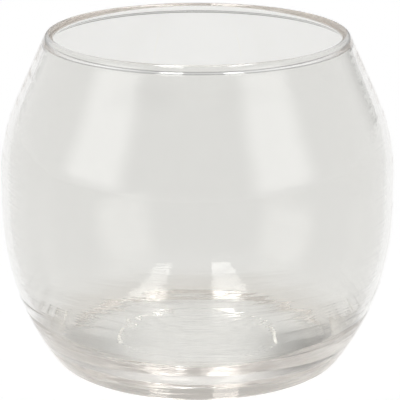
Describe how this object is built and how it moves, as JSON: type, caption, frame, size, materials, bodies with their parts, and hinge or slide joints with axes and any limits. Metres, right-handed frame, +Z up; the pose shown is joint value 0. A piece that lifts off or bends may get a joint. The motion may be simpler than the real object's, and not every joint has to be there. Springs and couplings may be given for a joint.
{
  "type": "rose bowl vase",
  "caption": "Clear glass rose bowl vase with a full round belly, a conical neck, a rounded rim bead and a thick flat base.",
  "frame": {"origin": "centre of the flat ring that the vase rests on, at table height", "axes": "+Z up along the axis of revolution; the vase is round, so X and Y are free"},
  "size_m": [0.1, 0.1, 0.0845],
  "materials": {
    "clear_glass": "clear soda-lime glass, fire-polished, with a faint neutral grey cast"
  },
  "bodies": {
    "root": {"glass_bowl": "clear_glass"}
  },
  "joints": []
}
